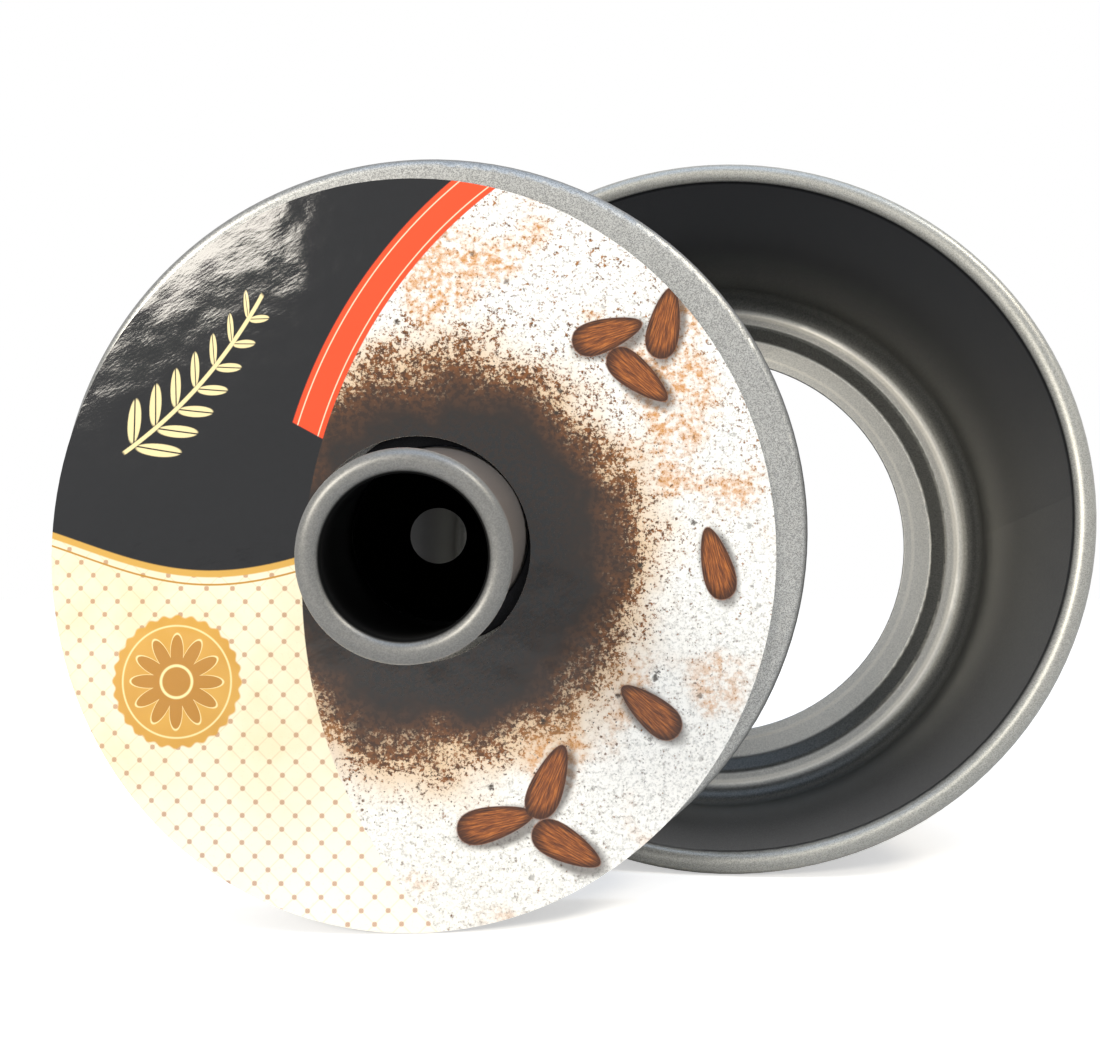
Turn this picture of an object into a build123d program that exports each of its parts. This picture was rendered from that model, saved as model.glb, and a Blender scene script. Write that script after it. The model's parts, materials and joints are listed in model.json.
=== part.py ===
from build123d import *
import math
import os

# A two-piece tube cake pan, taken apart as in the photograph: the ring lies on its side on the floor,
# and the loose base with its tube stands on edge in front of it. Millimetres, +X right, +Y away from
# the viewer, +Z up.

# Ring, measured from its foot plane up to the mouth
SHEET = 0.8
RING_HEIGHT = 101.5
MOUTH_RADIUS = 117.5
BEAD_DIAMETER = 7.4
WALL_TAPER = 5.5
WALL_FOLD_RADIUS = 9.0
LEDGE_RISE = 3.6
LEDGE_WIDTH = 12.5
JOGGLE_WIDTH = 5.4
FLANGE_WIDTH = 11.2
HEM_WIDTH = 3.4
JOGGLE_RADIUS = 2.6
BEAD_TURN = 300

# Base plate, measured from its top face
PLATE_CLEARANCE = 1.8
PLATE_EDGE_RADIUS = 3.0
SKIRT_DEPTH = 6.0
VENT_RADIUS = 8.0
BOSS_HEIGHT = 4.0
BOSS_CLEARANCE = 0.2
BOSS_FOLD_RADIUS = 1.2

# Tube, standing on the base plate
TUBE_HEIGHT = 108.5
TUBE_MOUTH_RADIUS = 15.6
TUBE_BEAD_DIAMETER = 4.8
TUBE_FOOT_RADIUS = 26.0
TUBE_FOLD_RADIUS = 1.0
TUBE_FLANGE_WIDTH = 6.0

# Printed card round the tube, bowed about its upright centre line
CARD_THICKNESS = 0.6
CARD_MARGIN = 4.7
CARD_BEND_RADIUS = 505.0
CARD_TILT = 4.0
CARD_PLAY = 5.8

# Clearances between a loose piece and what carries it
REST_GAP = 0.3
CARD_TUBE_GAP = 0.45

# Places: turn about the upright axis, lean, and the base's place beside and before the ring's mouth
RING_TURN = 8.3
BASE_TURN = -2.8
BASE_LEAN = 3.3
BASE_ASIDE = 88.2
BASE_AHEAD = 51.2

# Each step of the ring lies inside the one above it, and the plate inside the foot of the wall
half_sheet = SHEET / 2
wall_foot_radius = MOUTH_RADIUS - WALL_TAPER
ledge_inner_radius = wall_foot_radius - LEDGE_WIDTH
flange_outer_radius = ledge_inner_radius - JOGGLE_WIDTH
ring_hole_radius = flange_outer_radius - FLANGE_WIDTH
plate_radius = wall_foot_radius - PLATE_CLEARANCE
card_radius = plate_radius - CARD_MARGIN
card_hole_radius = TUBE_FOOT_RADIUS + CARD_PLAY
bead_radius = BEAD_DIAMETER / 2
tube_bead_radius = TUBE_BEAD_DIAMETER / 2


def line_to_bead(foot, centre, radius):
    """Where a line from foot meets a circle on its left side, and the line's direction there."""
    reach = centre - foot
    lean = math.atan2(reach.X, reach.Y) - math.asin(radius / reach.length)
    run = math.sqrt(reach.length**2 - radius**2)
    direction = Vector(math.sin(lean), math.cos(lean))
    return foot + direction * run, direction


def spun_sheet(path):
    """Sheet metal that follows a centre line, spun about the upright axis."""
    outline = offset(path, half_sheet, side=Side.BOTH)
    return Plane.XZ * make_face(outline)


def spun(face):
    return revolve(face, Axis.Z)


def ring_wall_line():
    """Foot point, end point and direction of the ring's wall, on the sheet's centre line."""
    foot = Vector(wall_foot_radius + half_sheet, LEDGE_RISE + half_sheet)
    bead_centre = Vector(MOUTH_RADIUS + bead_radius, RING_HEIGHT - bead_radius)
    end, direction = line_to_bead(foot, bead_centre, bead_radius - half_sheet)
    return foot, end, direction


def make_ring():
    foot, end, direction = ring_wall_line()
    hem_middle = ring_hole_radius + HEM_WIDTH / 2
    wall = FilletPolyline(
        (hem_middle, half_sheet),
        (flange_outer_radius, half_sheet),
        (ledge_inner_radius, LEDGE_RISE + half_sheet),
        foot,
        end,
        radius=[JOGGLE_RADIUS, JOGGLE_RADIUS, WALL_FOLD_RADIUS],
    )
    bead = JernArc(end, direction, bead_radius - half_sheet, -BEAD_TURN)
    section = spun_sheet(Wire(wall.edges() + bead.edges()))
    hem = Pos(hem_middle, SHEET) * Rectangle(HEM_WIDTH, 2 * SHEET)
    hem = fillet(hem.vertices().group_by(Axis.X)[0], half_sheet)
    return spun(section + Plane.XZ * hem)


def tube_wall_line():
    """Foot point, end point and direction of the tube's wall, on the sheet's centre line."""
    foot = Vector(TUBE_FOOT_RADIUS - half_sheet, half_sheet)
    bead_centre = Vector(TUBE_MOUTH_RADIUS + tube_bead_radius, TUBE_HEIGHT - tube_bead_radius)
    end, direction = line_to_bead(foot, bead_centre, tube_bead_radius - half_sheet)
    return foot, end, direction


def tube_outer_radius(height):
    foot, _, direction = tube_wall_line()
    return foot.X + half_sheet + (height - foot.Y) * direction.X / direction.Y


def make_plate():
    """The plate is raised inside the tube's foot, as a boss that keeps the tube central and has the vent."""
    boss_side = tube_outer_radius(BOSS_HEIGHT) - SHEET - BOSS_CLEARANCE - half_sheet
    boss_top = BOSS_HEIGHT - half_sheet
    rim = plate_radius - half_sheet
    path = FilletPolyline(
        (VENT_RADIUS + half_sheet, boss_top),
        (boss_side, boss_top),
        (boss_side, -half_sheet),
        (rim, -half_sheet),
        (rim, half_sheet - SKIRT_DEPTH),
        radius=[BOSS_FOLD_RADIUS, BOSS_FOLD_RADIUS, PLATE_EDGE_RADIUS - half_sheet],
    )
    return spun(spun_sheet(path.wire()))


def make_tube():
    foot, end, direction = tube_wall_line()
    wall = FilletPolyline(
        (TUBE_FOOT_RADIUS + TUBE_FLANGE_WIDTH - half_sheet, foot.Y),
        foot,
        end,
        radius=[TUBE_FOLD_RADIUS],
    )
    bead = JernArc(end, direction, tube_bead_radius - half_sheet, -BEAD_TURN)
    return spun(spun_sheet(Wire(wall.edges() + bead.edges())))


def bent_disc(radius):
    """Flat outline, seen from the front, of a disc that is bent round the card's bend radius."""
    half_width = CARD_BEND_RADIUS * math.sin(radius / CARD_BEND_RADIUS)
    return Ellipse(half_width, radius)


def make_card():
    centre = Pos(0, -CARD_BEND_RADIUS)
    curve = centre * Circle(CARD_BEND_RADIUS) - centre * Circle(CARD_BEND_RADIUS - CARD_THICKNESS)
    front_half = Pos(0, -CARD_BEND_RADIUS / 2) * Rectangle(2 * card_radius, CARD_BEND_RADIUS)
    band = Plane.XZ * (curve & front_half)
    bowed = extrude(band, card_radius, both=True)
    outline = bent_disc(card_radius) - bent_disc(card_hole_radius)
    return bowed & extrude(outline, card_radius, both=True)


def ring_place():
    """Rest of the ring on its side: bead and folded foot both touch the floor."""
    foot, _, direction = ring_wall_line()
    bead_ring = Vector(MOUTH_RADIUS + bead_radius, RING_HEIGHT - bead_radius)
    fold_height = foot.Y + WALL_FOLD_RADIUS
    wall_at_fold = foot.X + (fold_height - foot.Y) * direction.X / direction.Y
    fold_ring = Vector(wall_at_fold - WALL_FOLD_RADIUS / direction.Y, fold_height)
    fold_outer = WALL_FOLD_RADIUS + half_sheet
    reach = bead_ring - fold_ring
    tip = math.acos((fold_outer - bead_radius) / reach.length) - math.atan2(reach.Y, reach.X)
    mouth_drop = bead_ring.Y * math.sin(tip)
    height = bead_ring.X * math.cos(tip) + bead_radius - mouth_drop
    return Rot(Z=-RING_TURN) * Rot(X=90 - math.degrees(tip)), height


def base_height():
    """Height of the plate's centre when its rounded edge stands on the floor."""
    lean = math.radians(BASE_LEAN)
    upright = (plate_radius - PLATE_EDGE_RADIUS) * math.cos(lean)
    return upright + PLATE_EDGE_RADIUS - PLATE_EDGE_RADIUS * math.sin(lean)


def card_standoff(tilt):
    """How far the bowed card's middle is before the plate when the rearmost point of its edge clears it."""
    bow = card_radius**2 / (2 * CARD_BEND_RADIUS)
    lean_back = card_radius * math.sin(tilt)
    return bow + lean_back**2 / (4 * bow) + CARD_THICKNESS + REST_GAP


def card_place():
    """The card stands on the floor, or hangs on the tube if that is higher, and lies to its left."""
    lean = math.radians(BASE_LEAN)
    tilt = math.radians(CARD_TILT)
    ahead = card_standoff(tilt)
    lower_edge_ahead = ahead + card_radius * math.sin(tilt)
    upper_edge_ahead = ahead - card_hole_radius * math.sin(tilt)
    floor_level = (REST_GAP - base_height() + lower_edge_ahead * math.sin(lean)) / math.cos(lean)
    swing = card_hole_radius - tube_outer_radius(upper_edge_ahead) - CARD_TUBE_GAP
    rise = max(floor_level + card_radius * math.cos(tilt), -swing)
    aside = math.sqrt(swing**2 - rise**2)
    return Pos(-aside, rise, ahead) * Rot(X=-CARD_TILT)


ring_turned, ring_rise = ring_place()
ring_axis_shift = ring_turned * Pos(0, 0, RING_HEIGHT)
ring_location = Pos(-ring_axis_shift.position.X, -ring_axis_shift.position.Y, ring_rise) * ring_turned
base_location = Pos(-BASE_ASIDE, -BASE_AHEAD, base_height()) * Rot(Z=-BASE_TURN) * Rot(X=90 + BASE_LEAN)

pieces = {
    "pan_ring": ring_location * make_ring(),
    "base_plate": base_location * make_plate(),
    "centre_tube": base_location * make_tube(),
    "label_card": base_location * card_place() * make_card(),
}

# The origin goes to the middle of the floor under the whole part
box = Compound(children=[Compound(piece.solids()) for piece in pieces.values()]).bounding_box()
to_origin = Pos(-box.center().X, -box.center().Y, -box.min.Z)

os.makedirs("parts", exist_ok=True)
for name, piece in pieces.items():
    export_step(to_origin * piece, f"parts/{name}.step")
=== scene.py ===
"""Looks of the two-piece tube cake pan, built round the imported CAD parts. Metres, +X right, +Y away, +Z up."""
import json
import math

import bpy
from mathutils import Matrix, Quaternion, Vector

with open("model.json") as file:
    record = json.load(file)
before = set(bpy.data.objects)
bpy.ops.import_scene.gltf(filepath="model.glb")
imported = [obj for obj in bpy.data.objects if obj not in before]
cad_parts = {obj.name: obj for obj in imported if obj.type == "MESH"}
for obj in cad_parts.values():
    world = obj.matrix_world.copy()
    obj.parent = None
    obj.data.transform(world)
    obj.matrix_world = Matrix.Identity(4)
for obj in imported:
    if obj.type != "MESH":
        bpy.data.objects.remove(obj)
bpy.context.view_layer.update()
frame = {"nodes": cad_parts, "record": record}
nodes = frame["nodes"]
joint_axes = {j["name"]: Vector(j["axis"]) for j in frame["record"]["behaviour"]["joints"]}


def directions(out):
    """Level direction to the viewer's right and the rising one, both square to a piece's axis."""
    right = Vector((-out.y, out.x, 0.0)).normalized()
    return right, right.cross(-out)


def foot_point(node, right, rise, out):
    """Point in the middle of a node's spread across, where its spread along the out direction starts."""
    points = [vertex.co for vertex in nodes[node].data.vertices]
    spans = []
    for direction in (right, rise, out):
        levels = [point.dot(direction) for point in points]
        spans.append((min(levels), max(levels)))
    return right * (sum(spans[0]) / 2) + rise * (sum(spans[1]) / 2) + out * spans[2][0]


# Axes and foot points of the ring and the base, and the plane of the card, which leans back towards the plate
CARD_TILT = math.radians(4.0)
RING_OUT = joint_axes["base_off"]
BASE_OUT = joint_axes["card_off"]
RING_ORIGIN = foot_point("pan_ring", *directions(RING_OUT), RING_OUT)
CARD_RIGHT, BASE_RISE = directions(BASE_OUT)
BASE_ORIGIN = foot_point("centre_tube", CARD_RIGHT, BASE_RISE, BASE_OUT)
CARD_UP = BASE_RISE * math.cos(CARD_TILT) - BASE_OUT * math.sin(CARD_TILT)
CARD_FACE = CARD_RIGHT.cross(CARD_UP)
CARD_ORIGIN = foot_point("label_card", CARD_RIGHT, CARD_UP, CARD_FACE)


def linear(hex_code):
    """Linear colour of a screen colour that is written as six hexadecimal digits."""
    shares = [int(hex_code[i:i + 2], 16) / 255 for i in (0, 2, 4)]
    return tuple(s / 12.92 if s <= 0.04045 else ((s + 0.055) / 1.055) ** 2.4 for s in shares) + (1.0,)


class Graph:
    """A material with one Principled shader, and short calls for the nodes that feed it."""

    def __init__(self, name):
        self.material = bpy.data.materials.new(name)
        self.material.use_nodes = True
        self.tree = self.material.node_tree
        self.tree.nodes.clear()
        self.shader = self.add("ShaderNodeBsdfPrincipled")
        output = self.add("ShaderNodeOutputMaterial")
        self.tree.links.new(self.shader.outputs[0], output.inputs["Surface"])

    def add(self, kind, **settings):
        node = self.tree.nodes.new(kind)
        for key, value in settings.items():
            setattr(node, key, value)
        return node

    def feed(self, socket, value):
        if isinstance(value, bpy.types.NodeSocket):
            self.tree.links.new(value, socket)
        else:
            socket.default_value = value

    def math(self, operation, a, b=0.0, c=0.0):
        node = self.add("ShaderNodeMath", operation=operation)
        for socket, value in zip(node.inputs, (a, b, c)):
            self.feed(socket, value)
        return node.outputs[0]

    def vector(self, operation, a, b=(0, 0, 0)):
        node = self.add("ShaderNodeVectorMath", operation=operation)
        self.feed(node.inputs[0], a)
        self.feed(node.inputs[1], b)
        return node.outputs["Value" if operation in ("DOT_PRODUCT", "LENGTH") else "Vector"]

    def scaled(self, vector, share):
        node = self.add("ShaderNodeVectorMath", operation="SCALE")
        self.feed(node.inputs[0], vector)
        self.feed(node.inputs["Scale"], share)
        return node.outputs["Vector"]

    def product(self, first, *others):
        for other in others:
            first = self.math("MULTIPLY", first, other)
        return first

    def away(self, value, middle):
        """How far a value lies from a middle one."""
        return self.math("ABSOLUTE", self.math("SUBTRACT", value, middle))

    def coordinate(self, kind):
        return self.add("ShaderNodeTexCoord").outputs[kind]

    def join(self, x, y, z=0.0):
        node = self.add("ShaderNodeCombineXYZ")
        for socket, value in zip(node.inputs, (x, y, z)):
            self.feed(socket, value)
        return node.outputs[0]

    def split(self, vector):
        node = self.add("ShaderNodeSeparateXYZ")
        self.feed(node.inputs[0], vector)
        return node.outputs

    def local(self, vector, centre, turn, size=(1.0, 1.0)):
        """Coordinates in a frame that is centred, turned in the plane by degrees and scaled by its size."""
        node = self.add("ShaderNodeMapping", vector_type="TEXTURE")
        self.feed(node.inputs["Vector"], vector)
        node.inputs["Location"].default_value = (centre[0], centre[1], 0)
        node.inputs["Rotation"].default_value = (0, 0, math.radians(turn))
        node.inputs["Scale"].default_value = (size[0], size[1], 1)
        return node.outputs[0]

    def noise(self, vector, scale, detail=2.0, rough=0.5, output="Fac"):
        node = self.add("ShaderNodeTexNoise")
        self.feed(node.inputs["Vector"], vector)
        node.inputs["Scale"].default_value = scale
        node.inputs["Detail"].default_value = detail
        node.inputs["Roughness"].default_value = rough
        return node.outputs[output]

    def cells(self, vector, scale, output="Distance"):
        node = self.add("ShaderNodeTexVoronoi")
        self.feed(node.inputs["Vector"], vector)
        node.inputs["Scale"].default_value = scale
        return node.outputs[output]

    def step(self, value, low, high, to_low=0.0, to_high=1.0):
        """Smooth rise from low to high, or fall where low is the larger."""
        node = self.add("ShaderNodeMapRange", interpolation_type="SMOOTHSTEP")
        for name, number in (("Value", value), ("From Min", low), ("From Max", high),
                             ("To Min", to_low), ("To Max", to_high)):
            self.feed(node.inputs[name], number)
        return node.outputs[0]

    def band(self, value, middle, half, soft=0.25):
        """One inside a band round a value, with soft edges."""
        return self.step(self.away(value, middle), half + soft, half - soft)

    def blend(self, share, first, second):
        node = self.add("ShaderNodeMix", data_type="RGBA")
        for index, value in ((0, share), (6, first), (7, second)):
            self.feed(node.inputs[index], value)
        return node.outputs[2]

    def choose(self, share, first, second):
        """Blend of two vectors."""
        node = self.add("ShaderNodeMix", data_type="VECTOR")
        for index, value in ((0, share), (4, first), (5, second)):
            self.feed(node.inputs[index], value)
        return node.outputs[1]

    def ramp(self, share, stops):
        node = self.add("ShaderNodeValToRGB")
        self.feed(node.inputs[0], share)
        elements = node.color_ramp.elements
        while len(elements) < len(stops):
            elements.new(0.5)
        for element, (position, code) in zip(elements, stops):
            element.position = position
            element.color = linear(code)
        return node.outputs[0]

    def bump(self, height, strength, distance):
        node = self.add("ShaderNodeBump")
        self.feed(node.inputs["Height"], height)
        node.inputs["Strength"].default_value = strength
        node.inputs["Distance"].default_value = distance
        return node.outputs[0]

    def finish(self, **sockets):
        for name, value in sockets.items():
            self.feed(self.shader.inputs[name.replace("_", " ")], value)
        return self.material


def dress(node, material):
    mesh = nodes[node].data
    mesh.materials.clear()
    mesh.materials.append(material)


# Coated steel: a satin grey coating with fine bright flakes. Its colour carries painted light and shade: pale on
# upper faces square to the piece's axis, as on the ledge and the plate, where light falls, and painted shade on the
# walls that run along the axis and underneath.
METALLIC, SPECULAR = 0.62, 0.16
FLAKE_SCALE, SPECK_SCALE, CLOUD_SCALE = 4200.0, 5200.0, 24.0
FLAKE_SHARE, SPECK_SHARE, CLOUD_SHARE = 0.50, 0.36, 0.12
GRAIN_LEVELS = (0.26, 0.72)     # from the darkest flake to the palest
FLAKE_ROUGHNESS = 0.10
FLAKE_RELIEF, BUMP_STRENGTH, BUMP_DISTANCE = 0.6, 0.16, 0.00006
INNER_NORMAL = (0.15, -0.35)    # outward share of the normal, from an outer face to an inner one
SLOPING_NORMAL = (0.35, 0.80)   # share of the normal along the axis, from a wall to a sloping face
BORE_NORMAL = (0.3, 0.7)        # from a face outside the bore to one that belongs to it
# Painted shade: the bore is coloured near black, standing in for the darkness inside the tube.
BORE_PAINTED_SHADE, BORE_ROUGHNESS = "020202", 0.6
SHARP_EDGE, SOFT_EDGE = 0.0004, 0.0006      # metres over which a zone starts


def coated_steel(name, origin, axis, tones, rough, pale_slope=None, joggle=None, fold=None, lines=(), foot=None,
                 rim=None, bore=None, relief=1.0):
    """Material of one piece, in zones that lie at radii from its axis and at heights along it, in metres.

    tones       darkest and palest flake of each kind of face; the kinds differ by painted light and shade
    pale_slope  share of the normal along the axis, from a wall or an underside to a pale upper face
    joggle      middle and half width of a ring of the pale face that stays dark as painted shade
    fold        radii between which the pale face passes into the wall's painted shade
    lines       middle, half width and strength of each painted highlight line
    foot        heights between which the inner wall passes into the tone of sloping faces, a painted reflection of the ledge
    rim         height and radius beyond which the rolled bead lies
    bore        radius of the bore painted black as shade, and the side on which its faces lie
    """
    g = Graph(name)
    place = g.coordinate("Object")
    normal = g.coordinate("Normal")
    offset = g.vector("SUBTRACT", place, tuple(origin))
    height = g.vector("DOT_PRODUCT", offset, tuple(axis))
    radial = g.vector("SUBTRACT", offset, g.scaled(tuple(axis), height))
    reach = g.vector("LENGTH", radial)
    outward = g.vector("DOT_PRODUCT", normal, g.vector("NORMALIZE", radial))
    along = g.vector("DOT_PRODUCT", normal, tuple(axis))
    inner = g.step(outward, *INNER_NORMAL)

    flake = g.split(g.cells(place, FLAKE_SCALE, "Color"))[0]
    speck = g.noise(place, SPECK_SCALE, detail=1.0)
    cloud = g.noise(place, CLOUD_SCALE, detail=3.0, rough=0.55)
    grain = g.math("MULTIPLY_ADD", flake, FLAKE_SHARE, g.product(speck, SPECK_SHARE))
    grain = g.step(g.math("MULTIPLY_ADD", cloud, CLOUD_SHARE, grain), *GRAIN_LEVELS)
    tone = {face: g.blend(grain, linear(low), linear(high)) for face, (low, high) in tones.items()}

    # Painted reflection: the inner wall lightens towards its foot, into the tone of sloping faces.
    if foot:
        tone["inside"] = g.blend(g.step(height, *foot), tone["inside"], tone["sloping"])
    # Painted shade: faces that look towards the axis take the dark inside tone, and sloping faces a shaded tone of
    # their own.
    walls = g.blend(inner, tone["outside"], tone["inside"])
    colour = g.blend(g.step(g.math("ABSOLUTE", along), *SLOPING_NORMAL), walls, tone["sloping"])
    # Painted light: upper faces square to the axis take the pale tone.
    pale, shown = tone.get("pale"), 0.0
    if pale:
        shown = g.step(along, *pale_slope)
    # Painted highlight: bright lines at the given radii on the pale faces.
    for middle, half, strength in lines:
        painted_highlight = g.step(g.away(reach, middle), half * 1.6, half * 0.4, 0.0, strength)
        pale = g.blend(painted_highlight, pale, tone["painted_highlight"])
    # Painted shade: the joggle's ring and the fold past the given radius keep the wall tones.
    if joggle:
        middle, half = joggle
        shown = g.product(shown, g.step(g.away(reach, middle), half * 0.8, half * 1.2))
    if fold:
        start, end = fold
        shown = g.product(shown, g.step(reach, end, start))
    # The rolled bead takes its own tone, kept out of the painted shade of the walls.
    if rim:
        start, radius = rim
        bead = g.product(g.step(height, start, start + SHARP_EDGE), g.step(reach, radius, radius + SOFT_EDGE))
        shown = g.math("MAXIMUM", shown, bead)
        pale = g.blend(bead, pale, tone["rim"]) if pale else tone["rim"]
    colour = g.blend(shown, colour, pale)

    metallic, roughness = METALLIC, g.math("MULTIPLY_ADD", flake, FLAKE_ROUGHNESS, rough)
    # Painted shade: faces in the bore are coloured near black, with no metal and a rougher finish.
    if bore:
        radius, side = bore
        faces = {"upper": along, "inner": inner}[side]
        dark = g.product(g.step(reach, radius, radius - SHARP_EDGE), g.step(faces, *BORE_NORMAL))
        if rim:
            dark = g.product(dark, g.step(bead, 1.0, 0.0))
        colour = g.blend(dark, colour, linear(BORE_PAINTED_SHADE))
        metallic = g.step(dark, 0.0, 1.0, METALLIC, 0.0)
        roughness = g.math("MULTIPLY_ADD", dark, BORE_ROUGHNESS, roughness)
    bump = g.bump(g.math("MULTIPLY_ADD", flake, FLAKE_RELIEF, speck), BUMP_STRENGTH * relief, BUMP_DISTANCE)
    return g.finish(Base_Color=colour, Metallic=metallic, Roughness=roughness, Normal=bump,
                    Specular_IOR_Level=SPECULAR)


# Printed card: a generic design in the photograph's colours, drawn in millimetres on the card's own plane
MILLIMETRES = 1000.0
ARC_CENTRE, ARC_RADIUS = (110.0, -8.0, 0.0), 142.0
RIBBON_WIDTH, RIBBON_HEM, RIBBON_LINE = 9.5, 1.4, 0.22
RIBBON_END, RIBBON_SLANT = 16.0, -0.55
WAVE_HEIGHT, WAVE_LENGTH, WAVE_SHIFT, WAVE_LEVEL = 8.0, 24.0, 20.0, 1.0
LATTICE_TURN, LATTICE_PITCH = 45.0, 5.2
SPRIG_START, SPRIG_TURN, SPRIG_LENGTH = (-84.0, 27.0), 41.0, 60.0
LEAF_PITCH, LEAF_WIDTH, LEAF_LENGTH, LEAF_REACH, LEAF_SLANT = 8.0, 2.7, 5.4, 6.2, 0.85
ROSETTE_CENTRE, ROSETTE_RADIUS = (-67.0, -37.0, 0.0), 18.5
ROSETTE_SCALLOPS, ROSETTE_PETALS = 28, 6
HOLLOW_CENTRE = (7.0, -3.0, 0.0)
ALMOND_SIZE, ALMOND_SHADOW = (11.0, 5.2), (0.9, -1.3)
ALMONDS = (
    ((54.0, 62.0), 20.0), ((63.0, 50.0), -38.0), ((71.0, 66.0), 78.0),
    ((86.0, -4.0), 105.0),
    ((22.0, -76.0), 12.0), ((37.0, -65.0), 68.0), ((42.0, -83.0), -30.0),
    ((66.0, -46.0), 140.0),
)
INKS = {
    "cream": "f1e6c9", "cream shade": "ebdcb6", "cream painted highlight": "fcf8ec", "fibre": "cdb98c",
    "lattice": "b99f6a", "dot": "a5673f",
    "charcoal": "0d0e10", "charcoal shade": "141518", "leaf": "ead9a4", "wave": "cfa24c", "wave line": "b98a3a",
    "ribbon": "f44c20", "ribbon line": "ffd9b8",
    "gold": "c08c35", "gold sheen": "d9a94f", "petal": "b17c2b", "gold line": "f1dda0",
    "crust fleck": "2b1f18", "powder": "b0b0ad", "powder light": "f4f3ee", "powder edge": "d8bd9b",
    "amber": "cf9350", "almond edge": "25130a", "almond shadow": "2a1c14",
    "board": "cfc9bc", "board light": "e2ddd2",
}
# Colours of the crust at shares of 100 mm from the hollow, and of an almond's skin from its dark streaks to its pale
CRUST = ((0.34, "1d1e1f"), (0.41, "251f1b"), (0.48, "57371f"), (0.55, "7a4a22"), (0.64, "8a5526"), (0.84, "9a6630"))
SKIN = ((0.30, "3b1d0e"), (0.48, "7d431b"), (0.64, "b96c2c"), (0.80, "dba05a"))
# Pores of the crumb, coarse to fine: cells per millimetre, size, share of the cells that have one, and colour
PORES = ((0.16, 0.20, 0.34, "33291f"), (0.42, 0.24, 0.26, "5d4029"), (0.95, 0.30, 0.30, "3b3028"))


def ink(name):
    return linear(INKS[name])


def cream_field(g, flat):
    """Cream paper with a fine slanted lattice and a dot in each of its cells, and a painted highlight that pales it
    towards the card's foot.
    """
    cloud = g.noise(flat, 0.030, 4.0, 0.6)
    fibre = g.noise(flat, 0.95, 3.0, 0.7)
    cream = g.blend(g.step(cloud, 0.36, 0.66), ink("cream"), ink("cream shade"))
    _, up, _ = g.split(flat)
    # Painted highlight: the cream pales towards the card's foot.
    cream = g.blend(g.step(up, -45.0, -104.0, 0.0, 0.85), cream, ink("cream painted highlight"))
    cream = g.blend(g.step(fibre, 0.56, 0.76, 0.0, 0.22), cream, ink("fibre"))
    turned = g.split(g.local(flat, (0, 0), LATTICE_TURN, (LATTICE_PITCH, LATTICE_PITCH)))
    cell = [g.math("FRACT", turned[i]) for i in (0, 1)]
    lattice = g.math("MAXIMUM", *[g.band(share, 0.5, 0.035, 0.02) for share in cell])
    dot = g.vector("LENGTH", g.join(*[g.math("SUBTRACT", share, 0.5) for share in cell]))
    cream = g.blend(g.product(lattice, 0.25), cream, ink("lattice"))
    return g.blend(g.product(g.step(dot, 0.17, 0.11), 0.62), cream, ink("dot"))


def sprig(g, flat):
    """Share of a leaf sprig: a stem with pairs of slanted leaves that get smaller towards its tip."""
    along, aside, _ = g.split(g.local(flat, SPRIG_START, SPRIG_TURN))
    bend = g.math("SUBTRACT", g.product(along, along, 0.0042), g.product(along, 0.12))
    side = g.away(aside, bend)
    slanted = g.math("SUBTRACT", along, g.product(side, LEAF_SLANT))
    cell = g.math("SUBTRACT", g.math("MODULO", slanted, LEAF_PITCH), LEAF_PITCH / 2)
    taper = g.step(along, -6.0, SPRIG_LENGTH, 1.0, 0.45)
    wide = g.math("DIVIDE", cell, g.product(taper, LEAF_WIDTH))
    reach = g.math("SUBTRACT", side, g.product(taper, LEAF_REACH))
    reach = g.math("DIVIDE", reach, g.product(taper, LEAF_LENGTH))
    leaf = g.step(g.vector("LENGTH", g.join(wide, reach)), 1.08, 0.92)
    vein = g.step(g.math("ABSOLUTE", wide), 0.06, 0.16)
    stem = g.step(side, 0.75, 0.45)
    within = g.product(g.step(along, 0.0, 1.0), g.step(along, SPRIG_LENGTH, SPRIG_LENGTH - 1.0))
    return g.product(g.math("MAXIMUM", g.product(leaf, vein), stem), within)


def rosette(g, flat, under):
    """Gold rosette with a scalloped edge, petals and thin pale rings."""
    offset = g.vector("SUBTRACT", flat, ROSETTE_CENTRE)
    x, y, _ = g.split(offset)
    reach = g.math("DIVIDE", g.vector("LENGTH", offset), ROSETTE_RADIUS)
    angle = g.math("ARCTAN2", y, x)

    def wave(count):
        return g.math("COSINE", g.product(angle, float(count)))

    edge = g.math("MULTIPLY_ADD", wave(ROSETTE_SCALLOPS), 0.022, 0.985)
    inside = g.step(g.math("SUBTRACT", reach, edge), 0.02, -0.02)
    gold = g.blend(g.noise(flat, 0.06), ink("gold"), ink("gold sheen"))
    petals = g.math("MULTIPLY_ADD", g.math("ABSOLUTE", wave(ROSETTE_PETALS)), 0.34, 0.38)
    gap = g.math("SUBTRACT", reach, petals)
    gold = g.blend(g.step(gap, 0.02, -0.02), gold, ink("petal"))
    for value, middle, half in ((gap, 0.0, 0.014), (reach, 0.84, 0.012), (reach, 0.24, 0.02)):
        gold = g.blend(g.band(value, middle, half, 0.012), gold, ink("gold line"))
    return g.blend(inside, under, gold)


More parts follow.
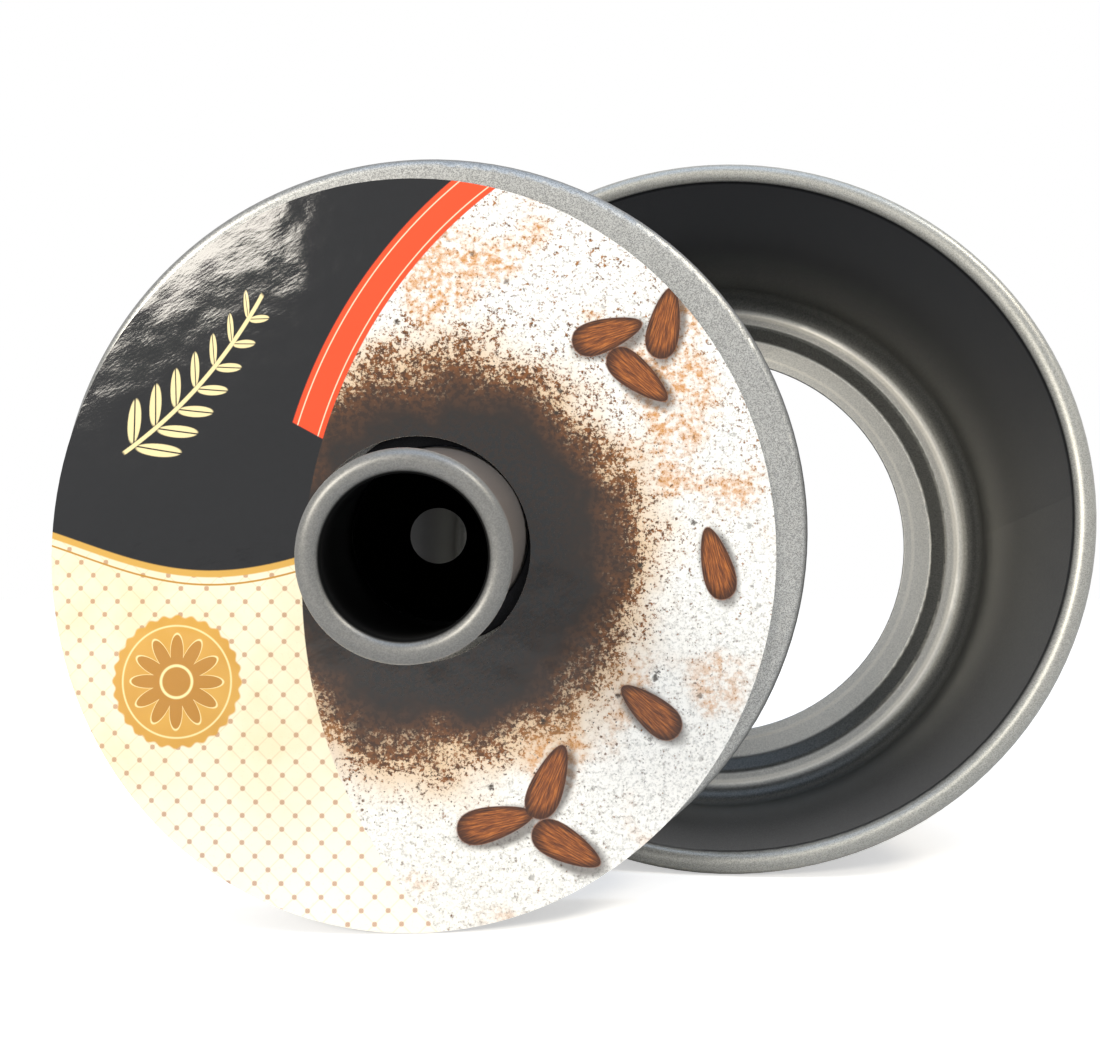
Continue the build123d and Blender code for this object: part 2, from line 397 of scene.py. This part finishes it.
def crumb_field(g, flat):
    """Sugar-dusted crumb: dark in the hollow round the tube, a brown glow, then grains that close up into powder."""
    drift = g.noise(flat, 0.040, 3.0, 0.6)
    coarse = g.noise(flat, 0.13, 4.0, 0.62)
    clump = g.noise(flat, 0.48, 3.0, 0.62)
    grain = g.noise(flat, 1.25, 3.0, 0.70)
    depth = g.vector("LENGTH", g.vector("SUBTRACT", flat, HOLLOW_CENTRE))
    depth = g.math("MULTIPLY_ADD", g.math("SUBTRACT", drift, 0.5), 30.0, depth)
    crust = g.ramp(g.math("DIVIDE", depth, 100.0), CRUST)
    crust = g.blend(g.step(g.noise(flat, 0.60, 3.0, 0.6), 0.42, 0.58, 0.0, 0.72), crust, ink("crust fleck"))

    cover = g.product(g.step(depth, 38.0, 74.0), g.step(g.split(flat)[1], -70.0, 60.0, 0.90, 0.70))
    cover = g.math("MULTIPLY_ADD", g.math("SUBTRACT", coarse, 0.5), 0.95, cover)
    sugar = g.math("MULTIPLY_ADD", g.math("SUBTRACT", clump, 0.5), 0.85, grain)
    dust = g.step(g.math("MULTIPLY_ADD", cover, 0.52, sugar), 0.64, 0.80)
    dust = g.product(dust, g.step(depth, 44.0, 56.0))
    light = g.step(g.math("MULTIPLY_ADD", clump, 0.8, grain), 0.60, 1.00)
    powder = g.blend(light, ink("powder"), ink("powder light"))
    powder = g.blend(g.step(depth, 74.0, 52.0), powder, ink("powder edge"))
    colour = g.blend(dust, crust, powder)

    patch = g.noise(g.vector("ADD", flat, (310.0, 95.0, 0.0)), 0.030)
    baked = g.step(g.math("MULTIPLY_ADD", coarse, 0.7, clump), 0.70, 1.00, 0.85, 0.10)
    amber = g.product(g.step(patch, 0.50, 0.66), baked, g.step(depth, 50.0, 66.0))
    colour = g.blend(amber, colour, ink("amber"))

    nearer = g.product(g.step(depth, 112.0, 60.0, 0.15, 1.0), g.step(depth, 42.0, 54.0))
    wander = g.noise(flat, 0.9, 2.0, 0.6, "Color")
    for scale, size, share, code in PORES:
        shifted = g.vector("ADD", flat, (scale * 900.0, scale * 500.0, 0.0))
        bent = g.vector("ADD", shifted, wander)
        hollow = g.math("MULTIPLY_ADD", grain, 0.25, g.cells(bent, scale))
        pore = g.step(hollow, size + 0.125, size * 0.4 + 0.125)
        chosen = g.step(g.split(g.cells(bent, scale, "Color"))[1], share, share - 0.02)
        colour = g.blend(g.product(pore, chosen, nearer), colour, linear(code))
    return colour


def almonds(g, flat, under):
    """Almond kernels laid on the crumb, each a drop shape with a streaked brown skin and a soft shadow."""
    kernel, skin, shade = 0.0, (0.0, 0.0, 0.0), 0.0
    for (across, up), turn in ALMONDS:
        x, y, _ = g.split(g.local(flat, (across, up), turn, ALMOND_SIZE))
        wide = g.product(y, g.math("MULTIPLY_ADD", x, 0.42, 1.12))
        reach = g.vector("LENGTH", g.join(x, wide))
        inside = g.step(reach, 1.02, 0.96)
        cast = g.local(flat, (across + ALMOND_SHADOW[0], up + ALMOND_SHADOW[1]), turn,
                       [s * 1.18 for s in ALMOND_SIZE])
        shade = g.math("MAXIMUM", shade, g.step(g.vector("LENGTH", cast), 1.08, 0.72))
        kernel = g.math("MAXIMUM", kernel, inside)
        skin = g.choose(inside, skin, g.join(x, wide, reach))
    x, wide, reach = g.split(skin)
    streak = g.noise(g.join(g.product(x, 0.9), g.product(wide, 5.0)), 2.2, 3.0, 0.65)
    brown = g.blend(g.step(reach, 0.55, 1.0, 0.0, 0.85), g.ramp(streak, SKIN), ink("almond edge"))
    colour = g.blend(g.product(shade, 0.75), under, ink("almond shadow"))
    return g.blend(kernel, colour, brown)


def printed_card():
    """Card with charcoal over cream on the left of a ribbon's arc and crumb on its right, under a glossy film."""
    g = Graph("printed_card")
    offset = g.vector("SUBTRACT", g.coordinate("Object"), tuple(CARD_ORIGIN))
    u, v = [g.product(g.vector("DOT_PRODUCT", offset, tuple(way)), MILLIMETRES) for way in (CARD_RIGHT, CARD_UP)]
    flat = g.join(u, v)
    arc = g.math("SUBTRACT", g.vector("LENGTH", g.vector("SUBTRACT", flat, ARC_CENTRE)), ARC_RADIUS)

    charcoal = g.blend(g.noise(flat, 0.5, 3.0, 0.6), ink("charcoal"), ink("charcoal shade"))
    charcoal = g.blend(sprig(g, flat), charcoal, ink("leaf"))
    swell = g.math("SINE", g.math("DIVIDE", g.math("ADD", u, WAVE_SHIFT), WAVE_LENGTH))
    level = g.math("SUBTRACT", v, g.math("MULTIPLY_ADD", swell, WAVE_HEIGHT, WAVE_LEVEL))
    left = g.blend(g.step(level, -0.2, 0.2), rosette(g, flat, cream_field(g, flat)), charcoal)
    left = g.blend(g.band(level, 0.0, 0.95), left, ink("wave"))
    left = g.blend(g.band(level, -3.0, 0.28, 0.15), left, ink("wave line"))

    slanted = g.math("SUBTRACT", v, g.math("MULTIPLY_ADD", u, RIBBON_SLANT, RIBBON_END))
    upper = g.step(slanted, 0.0, 0.5)
    half = RIBBON_WIDTH / 2
    left = g.blend(g.product(g.band(arc, half, half), upper), left, ink("ribbon"))
    hem = g.product(g.band(arc, half, half - RIBBON_HEM, 0.15), upper)
    for edge in (RIBBON_HEM + 0.1, RIBBON_WIDTH - RIBBON_HEM - 0.1):
        left = g.blend(g.product(g.band(arc, edge, RIBBON_LINE, 0.12), hem), left, ink("ribbon line"))
    right = almonds(g, flat, crumb_field(g, flat))
    print_colour = g.blend(g.step(arc, -0.15, 0.15), right, left)

    # The back and the cut edge are bare board, and the film over the print lies in faint slanted waves
    front = g.vector("DOT_PRODUCT", g.coordinate("Normal"), tuple(CARD_FACE))
    printed = g.step(front, 0.5, 0.7)
    board = g.blend(g.noise(flat, 1.3, 3.0, 0.7), ink("board"), ink("board light"))
    drawn = g.vector("MULTIPLY", g.local(flat, (0, 0), 32.0), (0.40, 1.0, 1.0))
    ripple = g.math("MULTIPLY_ADD", g.noise(drawn, 1.0, 3.0, 0.60), 0.42, g.product(g.noise(flat, 0.05), 8.0))
    g.feed(g.shader.inputs["Coat Normal"], g.bump(ripple, 0.50, 0.00014))
    return g.finish(Base_Color=g.blend(printed, board, print_colour), Roughness=g.step(printed, 0.0, 1.0, 0.75, 0.34),
                    Normal=g.bump(g.noise(flat, 2.4, 2.0, 0.6), 0.12, 0.00004),
                    Coat_Weight=printed, Coat_Roughness=0.09, Specular_IOR_Level=0.0)


# Tones of the pieces. Their spread by kind of face is painted light and shade: pale where light falls on the ledge,
# plate and bead, and dark inside where the walls lie in shade, with the painted highlight tone along bright lines of
# the ring.
RING_TONES = {
    "pale": ("b2b2ae", "d6d5cf"), "painted_highlight": ("e2dfd6", "f2efe5"), "rim": ("8b8b86", "abaaa4"),
    "inside": ("0c0c0d", "18181a"), "outside": ("5c5c5e", "727274"), "sloping": ("484846", "646460")}
PLATE_TONES = {
    "pale": ("888886", "c0c0bc"),
    "inside": ("242423", "3a3a3a"), "outside": ("5c5c5e", "727274"), "sloping": ("757573", "959592")}
# On the tube, the dark inside tone is painted shade in the bore, and the dark sloping tone is a painted shadow on the
# foot flange under the card.
TUBE_TONES = {
    "rim": ("757572", "848380"),
    "inside": ("0c0c0c", "161616"), "outside": ("6e6864", "86807b"), "sloping": ("1c1c1e", "28282b")}
# Painted highlight lines on the ring's hem and at the start of its fold: middle and half width in metres, and
# strength.
HEM_HIGHLIGHT, FOLD_HIGHLIGHT = (0.0866, 0.0007, 0.5), (0.1036, 0.0011, 1.0)
dress("pan_ring", coated_steel(
    "coated_steel_ring", RING_ORIGIN, RING_OUT, RING_TONES, rough=0.33, pale_slope=(0.40, 0.70),
    joggle=(0.0969, 0.0031), fold=(0.1042, 0.1068), lines=(HEM_HIGHLIGHT, FOLD_HIGHLIGHT), foot=(0.055, 0.012),
    rim=(0.0937, 0.1177)))
dress("base_plate", coated_steel(
    "coated_steel_plate", BASE_ORIGIN, BASE_OUT, PLATE_TONES, rough=0.34, pale_slope=(0.80, 0.99),
    bore=(0.0254, "upper")))
dress("centre_tube", coated_steel(
    "coated_steel_tube", BASE_ORIGIN, BASE_OUT, TUBE_TONES, rough=0.36, rim=(0.1037, 0.0157),
    bore=(0.0262, "inner"), relief=0.4))
dress("label_card", printed_card())


def seen_by(tree, *rays):
    """One for any of the named kinds of ray, and zero for the others."""
    path = tree.nodes.new("ShaderNodeLightPath")
    share = path.outputs[rays[0]]
    for ray in rays[1:]:
        larger = tree.nodes.new("ShaderNodeMath")
        larger.operation = "MAXIMUM"
        tree.links.new(share, larger.inputs[0])
        tree.links.new(path.outputs[ray], larger.inputs[1])
        share = larger.outputs[0]
    return share


def graded(tree, share, low, high):
    """Strength that goes from low to high with a share."""
    node = tree.nodes.new("ShaderNodeMapRange")
    tree.links.new(share, node.inputs["Value"])
    node.inputs["To Min"].default_value = low
    node.inputs["To Max"].default_value = high
    return node.outputs[0]


# Stage: a pale floor that the camera sees a little brighter, and a white backdrop that lights the object less
FLOOR_SIDE, FLOOR_BACK, FLOOR_GREY, FLOOR_GLOW = 3.0, 2.0, 0.9, 0.50
WORLD_LIGHT, WORLD_WHITE = 0.54, 1.0


def make_floor():
    mesh = bpy.data.meshes.new("floor")
    corners = [(-FLOOR_SIDE, -FLOOR_SIDE, 0), (FLOOR_SIDE, -FLOOR_SIDE, 0),
               (FLOOR_SIDE, FLOOR_BACK, 0), (-FLOOR_SIDE, FLOOR_BACK, 0)]
    mesh.from_pydata(corners, [], [(0, 1, 2, 3)])
    floor = bpy.data.objects.new("floor", mesh)
    bpy.context.scene.collection.objects.link(floor)
    paint = Graph("floor_paint")
    glow = graded(paint.tree, seen_by(paint.tree, "Is Camera Ray"), 0.0, FLOOR_GLOW)
    mesh.materials.append(paint.finish(
        Base_Color=(FLOOR_GREY, FLOOR_GREY, FLOOR_GREY, 1), Roughness=0.9, Specular_IOR_Level=0.0,
        Emission_Color=(1, 1, 1, 1), Emission_Strength=glow))


def make_world():
    world = bpy.data.worlds.new("studio")
    bpy.context.scene.world = world
    world.use_nodes = True
    tree = world.node_tree
    tree.nodes.clear()
    seen = seen_by(tree, "Is Camera Ray", "Is Glossy Ray", "Is Transmission Ray")
    background = tree.nodes.new("ShaderNodeBackground")
    background.inputs["Color"].default_value = (1, 1, 1, 1)
    tree.links.new(graded(tree, seen, WORLD_LIGHT, WORLD_WHITE), background.inputs["Strength"])
    output = tree.nodes.new("ShaderNodeOutputWorld")
    tree.links.new(background.outputs[0], output.inputs["Surface"])


def soft_light(name, place, target, size, watts, colour, roll=0.0):
    """Rectangular lamp that faces its target, turned about its own axis by degrees."""
    data = bpy.data.lights.new(name, "AREA")
    data.shape = "RECTANGLE"
    data.size, data.size_y = size
    data.energy = watts
    data.color = colour
    lamp = bpy.data.objects.new(name, data)
    lamp.location = place
    aim = (Vector(target) - Vector(place)).to_track_quat("-Z", "Y")
    lamp.rotation_euler = (aim @ Quaternion((0, 0, 1), math.radians(roll))).to_euler()
    bpy.context.scene.collection.objects.link(lamp)


make_floor()
make_world()
soft_light("left_window", place=(-0.92, -1.25, 0.72), target=(-0.05, 0.0, 0.12), size=(0.84, 0.30), watts=18.0,
           colour=(1.0, 0.94, 0.84), roll=20.0)
soft_light("sky_panel", place=(0.15, -0.40, 1.45), target=(0.05, 0.0, 0.10), size=(1.3, 1.0), watts=6.5,
           colour=(0.36, 0.60, 1.0))
soft_light("warm_strip", place=(0.74, -0.48, 1.05), target=(0.05, 0.0, 0.15), size=(0.26, 0.26), watts=5.5,
           colour=(1.0, 0.92, 0.78))

# Camera where the fit to the photograph's outlines puts it: focal length and width in pixels, pitch in degrees up
FOCAL_LENGTH, PHOTO_WIDTH, SENSOR_WIDTH = 1003.0, 1100.0, 36.0
CAMERA_PLACE, CAMERA_PITCH = (-0.01897, -0.32363, 0.1039), 2.12
camera_data = bpy.data.cameras.new("camera")
camera_data.sensor_width = SENSOR_WIDTH
camera_data.lens = FOCAL_LENGTH * SENSOR_WIDTH / PHOTO_WIDTH
camera_data.clip_start = 0.01
camera = bpy.data.objects.new("camera", camera_data)
camera.location = CAMERA_PLACE
camera.rotation_euler = (math.radians(90.0 + CAMERA_PITCH), 0, 0)
bpy.context.scene.collection.objects.link(camera)
bpy.context.scene.camera = camera

bpy.context.scene.view_settings.view_transform = "Standard"
